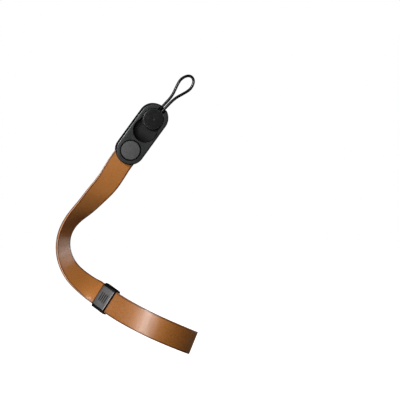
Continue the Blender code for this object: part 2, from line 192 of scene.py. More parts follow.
# Cord of the anchor. Its route is one strand of the loop, from the disc's middle.
CORD_DIAMETER = 0.0023
CORD_TURN = math.radians(8.0)
CORD_SPACING = 0.0003
CORD_SIDES = 40
CORD_BRAID_TURNS = 6
CORD_BRAID_PITCH = 0.0052
CORD_BRAID_DEPTH = 0.07
CORD_ROUTE = (
    # along, side, sink
    (0.0081, 0.0013, 0.0000),
    (0.0097, 0.0013, 0.0000),
    (0.0125, 0.0013, 0.0000),
    (0.0165, 0.0013, 0.0001),
    (0.0210, 0.0014, 0.0004),
    (0.0255, 0.0020, 0.0008),
    (0.0300, 0.0033, 0.0013),
    (0.0345, 0.0047, 0.0018),
    (0.0390, 0.0054, 0.0022),
    (0.0430, 0.0045, 0.0025),
    (0.0458, 0.0024, 0.0027),
    (0.0466, 0.0000, 0.0028),
)

# Shared by the pieces. An edge sharper than its crease, in degrees, isn't smoothed.
CLEARANCE = 0.0003
ROUND_SIDES = 128
RECTANGLE_CORNER_STEPS = 10
CUT_OVERRUN = 0.001
BEVEL_CREASE = 40
CREASE = 35
BAND_CREASE = 50
CORD_CREASE = 60
LEVEL_TOLERANCE = 0.00005
MILLIMETRES_PER_METRE = 1000

# How far a face's normal points up: more than the first is a level face, less than the second a wall
UPWARD = 0.9
SIDEWAYS = 0.1

# Shared by the materials. A noise is used between its middle values.
MIDDLE = (0.3, 0.7)
MOTTLE = 0.78
PATCH_TONE = 0.12
ROUGHNESS_SPREAD = 0.06
MOULDED_HEIGHT = 0.00004

# Camera and stage
CAMERA_PLACE = (0.0351, -0.8507, 0.1037)
CAMERA_LENS = 94.5
CAMERA_REACH = 20
FLOOR_LEVEL = -0.075
FLOOR_THICKNESS = 0.01
FLOOR_RADIUS = 3.0
SURROUND_STRENGTH = 0.03
LIGHT_AIM = (-0.02, 0.0, 0.08)
LIGHTS = (
    # name, side, back, up, distance, size, power
    ("key", -0.44, -0.83, 0.34, 1.4, 0.25, 9.0),
    ("front fill", -0.34, -0.92, 0.21, 1.6, 1.10, 16.0),
    ("low fill", -0.77, -0.28, -0.57, 1.6, 1.10, 9.0),
    ("right card", 0.77, 0.52, 0.37, 1.2, 0.90, 5.2),
    ("low right card", 0.83, 0.56, -0.05, 1.2, 0.68, 1.9),
)


def scene_object(name, data, matrix=None):
    """A mesh, camera or light as an object of the scene."""
    made = bpy.data.objects.new(name, data)
    bpy.context.scene.collection.objects.link(made)
    if matrix is not None:
        made.matrix_world = matrix
    return made


def mesh_from(shape, name):
    """Turn a bmesh into a mesh and free it."""
    bmesh.ops.recalc_face_normals(shape, faces=shape.faces)
    mesh = bpy.data.meshes.new(name)
    shape.to_mesh(mesh)
    shape.free()
    return mesh


def add_skin(shape, rings):
    """Faces from each ring of points to the next, and over both ends."""
    for lower, upper in zip(rings, rings[1:]):
        for side, start in enumerate(lower):
            after = (side + 1) % len(lower)
            shape.faces.new((start, lower[after], upper[after], upper[side]))
    shape.faces.new(rings[0][::-1])
    shape.faces.new(rings[-1])


def distances(points):
    """How far along its line each point lies."""
    reached = [0.0]
    for before, after in zip(points, points[1:]):
        reached.append(reached[-1] + (after - before).length)
    return reached


def arc(centre, radius, first, last, steps):
    """Points on an arc, angles in radians."""
    points = []
    for step in range(steps + 1):
        angle = first + (last - first) * step / steps
        points.append((centre[0] + radius * math.cos(angle), centre[1] + radius * math.sin(angle)))
    return points


def circle(centre, radius):
    """Points round a circle."""
    return arc(centre, radius, 0, 2 * math.pi, ROUND_SIDES)[:-1]


def stadium(start, end, radius):
    """Outline of a slot with round ends between two places on the X axis."""
    steps = ROUND_SIDES // 2
    right = arc((end, 0), radius, -math.pi / 2, math.pi / 2, steps)
    left = arc((start, 0), radius, math.pi / 2, 3 * math.pi / 2, steps)
    return right + left


def rounded_rectangle(width, height, radius):
    """Outline of a rectangle with round corners about the origin."""
    points = []
    for turn, (side, level) in enumerate(((1, 1), (-1, 1), (-1, -1), (1, -1))):
        centre = (side * (width / 2 - radius), level * (height / 2 - radius))
        first = turn * math.pi / 2
        points += arc(centre, radius, first, first + math.pi / 2, RECTANGLE_CORNER_STEPS)
    return points


def prism(name, outline, low, high):
    """A flat outline in X and Y, drawn up from one height to another."""
    shape = bmesh.new()
    corners = [shape.verts.new((x, y, low)) for x, y in outline]
    floor = shape.faces.new(corners)
    drawn = bmesh.ops.extrude_face_region(shape, geom=[floor])
    lifted = [part for part in drawn["geom"] if isinstance(part, bmesh.types.BMVert)]
    bmesh.ops.translate(shape, vec=(0, 0, high - low), verts=lifted)
    return mesh_from(shape, name)


def box(name, low, high):
    """A box between two corners."""
    corners = [(low[0], low[1]), (high[0], low[1]), (high[0], high[1]), (low[0], high[1])]
    return prism(name, corners, low[2], high[2])


def turned(name, profile):
    """A profile of radius and height, from the axis at the top round to the axis below."""
    shape = bmesh.new()
    rings = []
    for radius, height in profile:
        outline = circle((0, 0), radius) if radius else [(0, 0)]
        rings.append([shape.verts.new((x, y, height)) for x, y in outline])
    for upper, lower in zip(rings, rings[1:]):
        for side in range(ROUND_SIDES):
            after = (side + 1) % ROUND_SIDES
            corners = [upper[side % len(upper)], lower[side % len(lower)],
                       lower[after % len(lower)], upper[after % len(upper)]]
            shape.faces.new(dict.fromkeys(corners))
    return mesh_from(shape, name)


def cylinder(name, radius, low, high):
    """An upright cylinder between two heights."""
    return turned(name, ((0, high), (radius, high), (radius, low), (0, low)))


def chamfered(name, outline_at, low, high):
    """A cutter that widens at the housing's face, so that the hole's edge is chamfered."""
    shape = bmesh.new()
    mouth = HOUSING_DEPTH - MOUTH_CHAMFER
    rings = []
    for level, grow in ((low, 0.0), (mouth, 0.0), (high, high - mouth)):
        rings.append([shape.verts.new((x, y, level)) for x, y in outline_at(grow)])
    add_skin(shape, rings)
    return mesh_from(shape, name)


def apply_modifiers(piece):
    """Replace a piece's mesh with its evaluated one."""
    graph = bpy.context.evaluated_depsgraph_get()
    mesh = bpy.data.meshes.new_from_object(piece.evaluated_get(graph))
    piece.modifiers.clear()
    piece.data = mesh
    return piece


def bevel(piece, width, steps):
    """Round the sharp edges of a piece for good."""
    modifier = piece.modifiers.new("bevel", "BEVEL")
    modifier.width = width
    modifier.segments = steps
    modifier.limit_method = "ANGLE"
    modifier.angle_limit = math.radians(BEVEL_CREASE)
    return apply_modifiers(piece)


def cut(piece, meshes, matrix):
    """Cut meshes out of a piece for good, and drop the cutters."""
    cutters = []
    for mesh in meshes:
        cutter = scene_object(mesh.name, mesh, matrix)
        modifier = piece.modifiers.new(mesh.name, "BOOLEAN")
        modifier.operation = "DIFFERENCE"
        modifier.object = cutter
        cutters.append(cutter)
    bpy.context.view_layer.update()
    apply_modifiers(piece)
    for cutter in cutters:
        bpy.data.objects.remove(cutter)
    return piece


def finish_piece(piece, node, material, crease=CREASE):
    """Give a piece its material, its smooth shading and its place in the frame."""
    piece.data.materials.clear()
    piece.data.materials.append(material)
    piece.data.shade_smooth()
    piece.data.set_sharp_from_angle(angle=math.radians(crease))
    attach(piece, "root")
    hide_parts(node)


# Places of the pieces, worked out as the solids are


def spline(rows, first_slope, last_slope, spacing):
    """Cubic spline through rows, clamped at both ends. Returns the points and slopes."""
    rows = np.array(rows, dtype=float)
    chords = np.linalg.norm(np.diff(rows[:, :3], axis=0), axis=1)
    count = len(rows)
    system = np.zeros((count, count))
    right = np.zeros_like(rows)
    system[0, 0] = 1
    system[-1, -1] = 1
    right[0] = first_slope
    right[-1] = last_slope
    for row in range(1, count - 1):
        before = chords[row - 1]
        after = chords[row]
        system[row, row - 1] = 1 / before
        system[row, row] = 2 / before + 2 / after
        system[row, row + 1] = 1 / after
        right[row] = 3 * (rows[row] - rows[row - 1]) / before ** 2
        right[row] += 3 * (rows[row + 1] - rows[row]) / after ** 2
    slopes = np.linalg.solve(system, right)
    points = [rows[0]]
    ways = [slopes[0]]
    for row, chord in enumerate(chords):
        steps = max(1, round(chord / spacing))
        rise = rows[row + 1] - rows[row]
        start = slopes[row] * chord
        end = slopes[row + 1] * chord
        bend = 3 * rise - 2 * start - end
        twist = start + end - 2 * rise
        for step in range(1, steps + 1):
            share = step / steps
            points.append(rows[row] + share * start + share ** 2 * bend + share ** 3 * twist)
            ways.append((start + 2 * share * bend + 3 * share ** 2 * twist) / chord)
    return np.array(points), np.array(ways)


def touch_angle(place, half_breadth, half_depth, side):
    """Angle on an ellipse where the line from an outer place touches it."""
    across = place[0] / half_breadth
    along = place[1] / half_depth
    return math.atan2(along, across) + side * math.acos(1 / math.hypot(across, along))


class Loop:
    """The wrist loop in its own plane, with the slider at its point, lifted off the plane."""

    def __init__(self):
        turned_axes = Matrix.Rotation(LOOP_SLOPE, 3, "Y") @ Matrix.Rotation(-LOOP_PITCH, 3, "X")
        self.right, self.back, self.axis = turned_axes.transposed()
        self.half_breadth = WRIST_BREADTH / 2 + STRAP_THICKNESS / 2
        self.half_depth = WRIST_DEPTH / 2 + STRAP_THICKNESS / 2
        self.slider = Vector((-(WRIST_BREADTH / 2 + SLIDER_STANDOFF), -SLIDER_FORWARD))
        self.first = touch_angle(self.slider, self.half_breadth, self.half_depth, 1)

    def on_ellipse(self, angle):
        """Place of the band's middle line in the loop's plane where it lies on the wrist."""
        return Vector((self.half_breadth * math.cos(angle), self.half_depth * math.sin(angle)))

    def lift(self, across):
        """How far the band has risen from the plane towards the slider."""
        span = self.half_breadth - self.slider.x
        return SLIDER_LIFT * ((self.half_breadth - across) / span) ** LIFT_POWER

    def in_plane(self, point):
        """A point's place in the loop's plane, across and behind."""
        return Vector((point.dot(self.right), point.dot(self.back)))

    def raised(self, place):
        """A place in the loop's plane as a point in space, lifted with the band."""
        return self.right * place.x + self.back * place.y + self.axis * self.lift(place.x)

    def slider_matrix(self):
        """X along the band, Y across it, Z out of the slider's face."""
        centre = self.raised(self.slider)
        touch = self.raised(self.on_ellipse(self.first))
        flat = touch - centre
        flat -= self.axis * flat.dot(self.axis)
        flat.normalize()
        slope = LIFT_POWER * SLIDER_LIFT / (self.half_breadth - self.slider.x)
        along = (flat - self.axis * flat.dot(self.right) * slope).normalized()
        face = along.cross(self.axis).normalized()
        matrix = Matrix((along, face.cross(along), face)).transposed().to_4x4()
        matrix.translation = centre
        return matrix

    def rear_bend(self, slider, mouth):
        """Places on the round bend from the wrist to the rear mouth, and where it leaves the wrist."""
        start = self.in_plane(mouth)
        forward = self.in_plane(slider.to_3x3().col[0]).normalized()
        inward = Vector((-forward.y, forward.x))
        radius = REAR_BEND_SHARE * (-self.half_breadth - start.x)

        def on_bend(turn):
            return start + radius * (forward * math.sin(turn) + inward * (1 - math.cos(turn)))

        turn = math.pi / 2
        for _ in range(TANGENT_PASSES):
            leave = on_bend(turn)
            last = touch_angle(leave, self.half_breadth, self.half_depth, -1)
            way = self.on_ellipse(last) - leave
            turn = math.atan2(way.dot(inward), way.dot(forward))
        shares = [step / REAR_BEND_STATIONS for step in range(REAR_BEND_STATIONS, 0, -1)]
        return [on_bend(turn * share) for share in shares], last

    def stations(self, slider):
        """Points from the slider's front layer round the wrist to its rear layer."""
        mouth = slider @ Vector((SLIDER_LENGTH / 2, 0, 0))
        rear = slider @ Vector((SLIDER_LENGTH / 2, 0, -STRAP_THICKNESS - LAYER_GAP))
        bend, last = self.rear_bend(slider, rear)
        last -= 2 * math.pi * math.floor((last - self.first) / (2 * math.pi))
        turn = (last - self.first) / (LOOP_STATIONS - 1)
        wrist = [self.on_ellipse(self.first + turn * step) for step in range(LOOP_STATIONS)]
        return [mouth, *(self.raised(place) for place in wrist + bend), rear]


def lead_points(slider_point):
    """The lead's stations as points in space, with the roll in radians."""
    rows = []
    for out, back, up, roll in LEAD_ROWS:
        step = Vector((-out * LEAD_BULGE, back * LEAD_BACK, up * LEAD_RISE))
        rows.append((*(slider_point + step), math.radians(roll)))
    return rows


def housing_matrix(rim):
    """X along the housing to the anchor, Y across it, Z out of its face."""
    turn = math.radians(90 + HOUSING_TURN)
    turned_axes = Matrix.Rotation(-HOUSING_SLOPE, 4, "Y") @ Matrix.Rotation(turn, 4, "X")
    local_rim = Vector((-HOUSING_RADIUS, 0, STRAP_LEVEL))
    return Matrix.Translation(rim - turned_axes @ local_rim) @ turned_axes


def anchor_matrix(housing):
    """The anchor's place in the keyhole, with X along its cord."""
    seat = Matrix.Translation((ANCHOR_PLACE, 0, 0))
    return housing @ seat @ Matrix.Rotation(-CORD_TURN, 4, "Z")


def band_roll(forward, across):
    """Turn of the band about its own way, from lying flat to the view."""
    flat = forward.cross(Vector((0, 1, 0))).normalized()
    return math.atan2(across.dot(flat.cross(forward)), across.dot(flat))


def straight(start, way, length, across):
    """Sections of a straight stretch, without its first one."""
    steps = max(1, round(length / STRAP_SPACING))
    return [(start + way * length * step / steps, way, across) for step in range(1, steps + 1)]


def band_sections(loop, slider, housing, lead):
    """The band from end to end as a point, its way, and the way across at each section."""
    along_housing = housing.to_3x3().col[0]
    across_housing = -housing.to_3x3().col[1]
    along = slider.to_3x3().col[0]
    across_slider = slider.to_3x3().col[1]
    rim = Vector(lead[0][:3])
    tail = rim + along_housing * STRAP_TAIL
    sections = [(tail, -along_housing, across_housing)]
    sections += straight(tail, -along_housing, STRAP_TAIL, across_housing)

    left_mouth = slider @ Vector((-SLIDER_LENGTH / 2, 0, 0))
    rows = [*lead, (*left_mouth, band_roll(along, across_slider))]
    points, ways = spline(rows, (*-along_housing, 0.0), (*along, 0.0), STRAP_SPACING)
    for point, way in zip(points[1:], ways[1:]):
        forward = Vector(way[:3]).normalized()
        flat = forward.cross(Vector((0, 1, 0))).normalized()
        upright = flat.cross(forward)
        across = flat * math.cos(point[3]) + upright * math.sin(point[3])
        sections.append((Vector(point[:3]), forward, across))

    sections += straight(left_mouth, along, SLIDER_LENGTH, across_slider)
    points, ways = spline(loop.stations(slider), along, -along, STRAP_SPACING)
    for point, way in zip(points[1:], ways[1:]):
        forward = Vector(way).normalized()
        across = (loop.axis - forward * loop.axis.dot(forward)).normalized()
        sections.append((Vector(point), forward, across))
    rear_mouth = Vector(points[-1])
    sections += straight(rear_mouth, -along, SLIDER_LENGTH - STRAP_END_INSET, across_slider)
    return sections


loop = Loop()
slider_place = loop.slider_matrix()
lead = lead_points(slider_place.translation)
housing_place = housing_matrix(Vector(lead[0][:3]))
anchor_place = anchor_matrix(housing_place)


# Materials


class Surface:
    """A Principled material with helpers that add and join its nodes."""

    def __init__(self, name, colour, roughness, metallic=0.0):
        self.material = bpy.data.materials.new(name)
        self.material.use_nodes = True
        self.tree = self.material.node_tree
        self.shader = self.tree.nodes["Principled BSDF"]
        self.shader.inputs["Base Color"].default_value = (*colour, 1.0)
        self.shader.inputs["Roughness"].default_value = roughness
        self.shader.inputs["Metallic"].default_value = metallic
        self.place = self.tree.nodes.new("ShaderNodeTexCoord").outputs["Object"]

    def set(self, name, value):
        """Set one of the shader's own sockets."""
        self.shader.inputs[name].default_value = value

    def join(self, source, name):
        """Join a node's output to one of the shader's sockets."""
        self.tree.links.new(source, self.shader.inputs[name])

    def noise(self, size, detail=2.0, roughness=0.5):
        """Noise with features of about a size in metres, from 0 to 1."""
        node = self.tree.nodes.new("ShaderNodeTexNoise")
        node.inputs["Scale"].default_value = 1 / size
        node.inputs["Detail"].default_value = detail
        node.inputs["Roughness"].default_value = roughness
        self.tree.links.new(self.place, node.inputs["Vector"])
        return node.outputs["Fac"]

    def cells(self, size):
        """How far from the edges of cells of about a size in metres."""
        node = self.tree.nodes.new("ShaderNodeTexVoronoi")
        node.feature = "DISTANCE_TO_EDGE"
        node.inputs["Scale"].default_value = 1 / size
        self.tree.links.new(self.place, node.inputs["Vector"])
        return node.outputs["Distance"]

    def along(self):
        """How far along the piece's own X axis, in metres."""
        node = self.tree.nodes.new("ShaderNodeSeparateXYZ")
        self.tree.links.new(self.place, node.inputs["Vector"])
        return node.outputs["X"]

    def attribute(self, name):
        """A number kept on the mesh's points."""
        node = self.tree.nodes.new("ShaderNodeAttribute")
        node.attribute_name = name
        return node.outputs["Fac"]

    def ramp(self, source, low, high, at_low=0.0, at_high=1.0):
        """Map a number smoothly from one span to another, held at the ends."""
        node = self.tree.nodes.new("ShaderNodeMapRange")
        node.interpolation_type = "SMOOTHSTEP"
        node.inputs["From Min"].default_value = low
        node.inputs["From Max"].default_value = high
        node.inputs["To Min"].default_value = at_low
        node.inputs["To Max"].default_value = at_high
        self.tree.links.new(source, node.inputs["Value"])
        return node.outputs["Result"]

    def combine(self, operation, first, second):
        """A sum, product or the like of two numbers or outputs."""
        node = self.tree.nodes.new("ShaderNodeMath")
        node.operation = operation
        for socket, value in zip(node.inputs, (first, second)):
            if isinstance(value, (int, float)):
                socket.default_value = value
            else:
                self.tree.links.new(value, socket)
        return node.outputs["Value"]

    def mix(self, share, first, second):
        """Mix two colours, each a tuple or an output."""
        node = self.tree.nodes.new("ShaderNodeMix")
        node.data_type = "RGBA"
        # The node has sockets for each kind of value. Its colours are inputs 6 and 7 and output 2.
        for socket, value in ((node.inputs[0], share), (node.inputs[6], first), (node.inputs[7], second)):
            if isinstance(value, (int, float)):
                socket.default_value = value
            elif isinstance(value, tuple):
                socket.default_value = (*value, 1.0)
            else:
                self.tree.links.new(value, socket)
        return node.outputs[2]

    def bump(self, height, strength, distance, after=None):
        """A bump on the shader's normal, on top of an earlier one."""
        node = self.tree.nodes.new("ShaderNodeBump")
        node.inputs["Strength"].default_value = strength
        node.inputs["Distance"].default_value = distance
        self.tree.links.new(height, node.inputs["Height"])
        if after is not None:
            self.tree.links.new(after, node.inputs["Normal"])
        self.join(node.outputs["Normal"], "Normal")
        return node.outputs["Normal"]


def leather():
    """Tan leather: mottled smooth face, dark rubbed corners, paler cut edge, rough back, and painted light
    and shade along the band, on the curve's inner edge and at the slider's mouths.
    """
    made = Surface("tan_leather", (0.43, 0.15, 0.028), 0.34)
    deep_tan = (0.325, 0.116, 0.023)
    pale_tan = (0.530, 0.206, 0.054)
    speck_tan = (0.30, 0.097, 0.023)
    rubbed = (0.110, 0.032, 0.010)
    # Painted shade where the slider holds and shades the band
    mouth_shadow_tan = (0.050, 0.018, 0.007)
    specks = made.ramp(made.noise(0.0011), 0.3, 0.75)
    patches = made.ramp(made.noise(0.022, detail=3.0), *MIDDLE, -PATCH_TONE, PATCH_TONE)
    # Painted light and shade along the band, with random patches of tone on top.
    paleness_with_painted_light = made.combine("ADD", made.attribute("paleness_with_painted_light"), patches)
    face = made.mix(paleness_with_painted_light, deep_tan, pale_tan)
    face = made.mix(made.combine("MULTIPLY", specks, 0.2), face, speck_tan)
    back = made.mix(specks, (0.33, 0.15, 0.060), (0.24, 0.10, 0.038))
    core = made.mix(specks, (0.66, 0.33, 0.17), (0.46, 0.19, 0.08))

    wobble = made.ramp(made.noise(0.004), *MIDDLE, -ZONE_WOBBLE, ZONE_WOBBLE)
    reach = made.combine("ADD", made.attribute("from_edge_mm"), wobble)
    # Painted shade widens the dark border on the curve's inner edge.
    past_edge_shade = made.combine("SUBTRACT", reach, made.attribute("edge_shade_mm"))
    on_face = made.ramp(past_edge_shade, *FACE_STARTS)
    on_back = made.ramp(reach, *BACK_ENDS, 1.0, 0.0)
    past_middle = made.ramp(reach, *CORE_STARTS)
    on_core = made.combine("MULTIPLY", past_middle, made.ramp(reach, *CORE_ENDS, 1.0, 0.0))
    colour = made.mix(on_back, face, back)
    colour = made.mix(made.combine("MAXIMUM", on_face, on_back), rubbed, colour)
    colour = made.mix(on_core, colour, core)
    made.join(made.mix(made.attribute("held"), colour, mouth_shadow_tan), "Base Color")

    rough = made.ramp(made.noise(0.006, detail=3.0), *MIDDLE, 0.18, 0.23)
    rough = made.combine("ADD", rough, made.combine("MULTIPLY", specks, 0.20))
    rough = made.combine("ADD", rough, made.combine("MULTIPLY", on_back, 0.40))
    made.join(rough, "Roughness")
    grain = made.bump(made.ramp(made.cells(0.0011), 0.0, 0.22), strength=0.28, distance=0.00008)
    fine = made.noise(0.00060, detail=3.0, roughness=0.6)
    made.bump(fine, strength=0.55, distance=0.00010, after=grain)
    return made.material


def plain(name, colour, roughness, metallic=0.0, grain=0.0003, strength=0.25, gloss=0.5):
    """A moulded or painted surface with a fine grain, faint mottling and slightly uneven roughness."""
    made = Surface(name, colour, roughness, metallic)
    made.set("Specular IOR Level", gloss)
    mottled = made.ramp(made.noise(0.0016, detail=3.0, roughness=0.6), 0.35, 0.70)
    darker = tuple(MOTTLE * part for part in colour)
    made.join(made.mix(mottled, colour, darker), "Base Color")
    spread = (roughness - ROUGHNESS_SPREAD, roughness + ROUGHNESS_SPREAD)
    made.join(made.ramp(made.noise(0.004, detail=3.0), *MIDDLE, *spread), "Roughness")
    made.bump(made.noise(grain, roughness=0.6), strength, MOULDED_HEIGHT)
    return made.material


# The leather band


def band_profile():
    """Round the band's section: across, height, and how far from the edge's middle, minus at the back."""
    half_width = STRAP_WIDTH / 2
    half_height = STRAP_THICKNESS / 2
    flat_half = half_width - STRAP_ROUND
    level = half_height - STRAP_ROUND
    quarter = STRAP_ROUND * math.pi / 2
    rows = []
    for step in range(FACE_STEPS + 1):
        across = flat_half * (2 * step / FACE_STEPS - 1)
        rows.append((across, half_height, level + quarter + flat_half - abs(across)))
    for step in range(1, CORNER_STEPS + 1):
        turn = math.pi / 2 * (1 - step / CORNER_STEPS)
        rows.append((flat_half + STRAP_ROUND * math.cos(turn), level + STRAP_ROUND * math.sin(turn),
                     level + STRAP_ROUND * turn))
    for step in range(1, EDGE_STEPS):
        height = level * (1 - step / EDGE_STEPS)
        rows.append((half_width, height, height))
    lower = [(across, -height, -reach) for across, height, reach in reversed(rows)]
    rows.append((half_width, 0.0, 0.0))
    rows += lower
    left = [(-across, height, reach) for across, height, reach in reversed(rows) if across > flat_half]
    return rows + left


def build_band():
    """The leather band swept along its sections, with rounded borders and closed ends."""
    sections = band_sections(loop, slider_place, housing_place, lead)
    reached = distances([point for point, _, _ in sections])
    profile = band_profile()
    shape = bmesh.new()
    from_edge = shape.verts.layers.float.new("from_edge_mm")
    held = shape.verts.layers.float.new("held")
    paleness_with_painted_light = shape.verts.layers.float.new("paleness_with_painted_light")
    edge_shade_layer = shape.verts.layers.float.new("edge_shade_mm")
    into_slider = slider_place.inverted()
    rings = []
    for (point, forward, across), distance in zip(sections, reached):
        length = distance - STRAP_TAIL
        # Painted light and shade along the band.
        painted_light_tone = float(np.interp(length, *zip(*LIGHT_AND_SHADE_ALONG)))
        # Painted shade widens the dark border on the inner edge of the curve.
        edge_shade_width = float(np.interp(length, *zip(*INNER_EDGE_SHADE)))
        # Painted shade darkens the band that the slider holds, and a little of it past the left mouth,
        # where the slider shades it.
        along = (into_slider @ point).x
        beyond = max(-along - MOUTH_SHADE_LEFT, along) - SLIDER_LENGTH / 2
        mouth_shade = min(1.0, max(0.0, 1 - beyond / MOUTH_SHADE_FADE))
        across = across.normalized()
        out = forward.cross(across).normalized()
        wave = STRAP_WAVE * noise.noise(point * WAVES_PER_METRE)
        ring = []
        for side, height, reach in profile:
            vert = shape.verts.new(point + across * side + out * (height + wave))
            vert[from_edge] = reach * MILLIMETRES_PER_METRE
            vert[held] = mouth_shade
            vert[paleness_with_painted_light] = painted_light_tone
            vert[edge_shade_layer] = edge_shade_width if side > 0 else 0.0
            ring.append(vert)
        rings.append(ring)
    add_skin(shape, rings)
    band = scene_object("leather_band", mesh_from(shape, "leather_band"))
    rear_level = -(STRAP_THICKNESS + LAYER_GAP)
    hole = cylinder("rivet hole", RIVET_RADIUS + CLEARANCE, rear_level - STRAP_THICKNESS, rear_level / 2)
    cut(band, [hole], slider_place)
    finish_piece(band, "strap", leather(), BAND_CREASE)


# The slider


def slider_heights():
    """Heights of the slider's top, its cavity's top and bottom, and its underside."""
    cavity_top = STRAP_THICKNESS / 2 + CLEARANCE
    cavity_bottom = cavity_top - 2 * STRAP_THICKNESS - LAYER_GAP - 2 * CLEARANCE
    return cavity_top + SLIDER_FRONT_WALL, cavity_top, cavity_bottom, cavity_bottom - SLIDER_REAR_WALL


def slider_halves():
    """Half the slider's length, and half the widths of its cavity and its plate."""
    cavity_half = STRAP_WIDTH / 2 + CLEARANCE
    return SLIDER_LENGTH / 2, cavity_half, cavity_half + SLIDER_SIDE_WALL - PLATE_BAND


def build_slider_frame():
    """The black frame: open at both mouths, with the plate's recess and the rivet's hole."""
    top, cavity_top, cavity_bottom, bottom = slider_heights()
    half_length, cavity_half, plate_half = slider_halves()
    outline = rounded_rectangle(2 * (cavity_half + SLIDER_SIDE_WALL), top - bottom, SLIDER_CORNER)
    mesh = prism("slider_body", outline, -half_length, half_length)
    # The outline's X, Y and Z become the slider's Y, Z and X.
    laid_down = Matrix(((0, 0, 1, 0), (1, 0, 0, 0), (0, 1, 0, 0), (0, 0, 0, 1)))
    mesh.transform(Matrix.Translation((0, 0, (top + bottom) / 2)) @ laid_down)
    body = bevel(scene_object("slider_body", mesh, slider_place), SLIDER_EDGE, SLIDER_EDGE_STEPS)
    reach = half_length + CUT_OVERRUN
    recess_half = plate_half + CLEARANCE
    cuts = [
        box("cavity", (-reach, -cavity_half, cavity_bottom), (reach, cavity_half, cavity_top)),
        box("recess", (-reach, -recess_half, top - PLATE_RECESS), (reach, recess_half, top + CUT_OVERRUN)),
        cylinder("wall hole", RIVET_RADIUS + CLEARANCE, bottom - CUT_OVERRUN, cavity_bottom + CUT_OVERRUN),
    ]
    cut(body, cuts, slider_place)
    black = plain("black_slider", (0.003, 0.003, 0.0033), 0.40, grain=0.00025, strength=0.15, gloss=0.12)
    finish_piece(body, "slider_frame", black)


def build_slider_plate():
    """The dark grey face plate with its black grip lines."""
    half_length, _, half_width = slider_halves()
    low = slider_heights()[0] - PLATE_RECESS + CLEARANCE
    high = low + PLATE_THICKNESS
    end = half_length - PLATE_INSET
    mesh = box("slider_face", (-end, -half_width, low), (end, half_width, high))
    plate = bevel(scene_object("slider_face", mesh, slider_place), PLATE_EDGE, SLIDER_EDGE_STEPS)
    lines = []
    for line in range(GRIP_LINES):
        middle = (line - (GRIP_LINES - 1) / 2) * GRIP_PITCH
        corners = rounded_rectangle(GRIP_LENGTH, GRIP_WIDTH, GRIP_CORNER)
        outline = [(x + middle, y) for y, x in corners]
        lines.append(prism("grip line", outline, high - GRIP_DEPTH, high + CUT_OVERRUN))
    cut(plate, lines, slider_place)
    finish_piece(plate, "slider_plate", gunmetal(end))
    plate.data.materials.append(plain("grip_black", (0.012, 0.012, 0.012), 0.60, gloss=0.20))
    for face in plate.data.polygons:
        in_line = face.normal.z > UPWARD and face.center.z < high - GRIP_DEPTH / 2
        face.material_index = int(in_line)


def gunmetal(end):
    """Satin dark grey metal, with a painted highlight along its edge at the wrist's side."""
    made = Surface("gunmetal", (0.094, 0.090, 0.090), 0.55, metallic=0.15)
    mottled = made.ramp(made.noise(0.0014, detail=3.0, roughness=0.6), 0.35, 0.65)
    colour = made.mix(mottled, (0.102, 0.098, 0.098), (0.082, 0.078, 0.078))
    # Painted highlight: the plate's end at the wrist's side is made far paler.
    edge_highlight = made.ramp(made.along(), end - PLATE_HIGHLIGHT_WIDTH, end - PLATE_HIGHLIGHT_WIDTH / 2)
    made.join(made.mix(edge_highlight, colour, (0.46, 0.43, 0.42)), "Base Color")
    made.join(made.ramp(made.noise(0.0015, detail=3.0), *MIDDLE, 0.50, 0.60), "Roughness")
    made.bump(made.noise(0.0002, detail=3.0, roughness=0.6), strength=0.25, distance=0.00003)
    return made.material


# The housing, its cap and the anchor


def keyhole_cutters(over):
    """The round entry pocket, and the slot that it opens into, wide below its lip and narrow above."""
    lip_under = KEYHOLE_FLOOR + CLEARANCE + FLANGE_THICKNESS + CLEARANCE
    flange_slot = stadium(ENTRY_PLACE, ANCHOR_PLACE, FLANGE_RADIUS + CLEARANCE)

    def entry_outline(grow):
        return circle((ENTRY_PLACE, 0), ENTRY_RADIUS + grow)

    def button_outline(grow):
        return stadium(ENTRY_PLACE, ANCHOR_PLACE, BUTTON_RADIUS + CLEARANCE + grow)

    return [
        chamfered("entry pocket", entry_outline, KEYHOLE_FLOOR, over),
        prism("flange slot", flange_slot, KEYHOLE_FLOOR, lip_under),
        chamfered("button slot", button_outline, lip_under - CUT_OVERRUN, over),
    ]


def cap_cutters(over):
    """The cap's recess and the groove round it."""

    def groove_outline(grow):
        return circle((0, 0), CAP_RADIUS + GROOVE_WIDTH + grow / 2)

    floor = HOUSING_DEPTH - CAP_THICKNESS - CLEARANCE
    return [
        cylinder("cap recess", CAP_RADIUS + CLEARANCE, floor, over),
        chamfered("cap groove", groove_outline, HOUSING_DEPTH - GROOVE_DEPTH, over),
    ]


def band_slot():
    """The slot that the band goes into."""
    half_width = STRAP_WIDTH / 2 + CLEARANCE
    half_height = STRAP_THICKNESS / 2 + CLEARANCE
    low = (-HOUSING_RADIUS - CUT_OVERRUN, -half_width, STRAP_LEVEL - half_height)
    high = (STRAP_TAIL + CLEARANCE - HOUSING_RADIUS, half_width, STRAP_LEVEL + half_height)
    return box("band slot", low, high)


def seam_ring():
    """A thin ring that cuts the parting seam round the housing."""
    top = SEAM_LEVEL + SEAM_WIDTH
    outside = stadium(0, HOUSING_SPAN, HOUSING_RADIUS + CUT_OVERRUN)
    inside = stadium(0, HOUSING_SPAN, HOUSING_RADIUS - SEAM_DEPTH)
    ring = scene_object("seam", prism("seam", outside, SEAM_LEVEL, top), housing_place)
    core = prism("seam core", inside, SEAM_LEVEL - CUT_OVERRUN, top + CUT_OVERRUN)
    mesh = cut(ring, [core], housing_place).data
    bpy.data.objects.remove(ring)
    return mesh


def cord_notch(over):
    """The notch through the housing's end that the cord leaves by."""
    end = HOUSING_SPAN + HOUSING_RADIUS - ANCHOR_PLACE + 2 * CUT_OVERRUN
    low = (BUTTON_RADIUS, -NOTCH_WIDTH / 2, KEYHOLE_FLOOR)
    return box("cord notch", low, (end, NOTCH_WIDTH / 2, over))


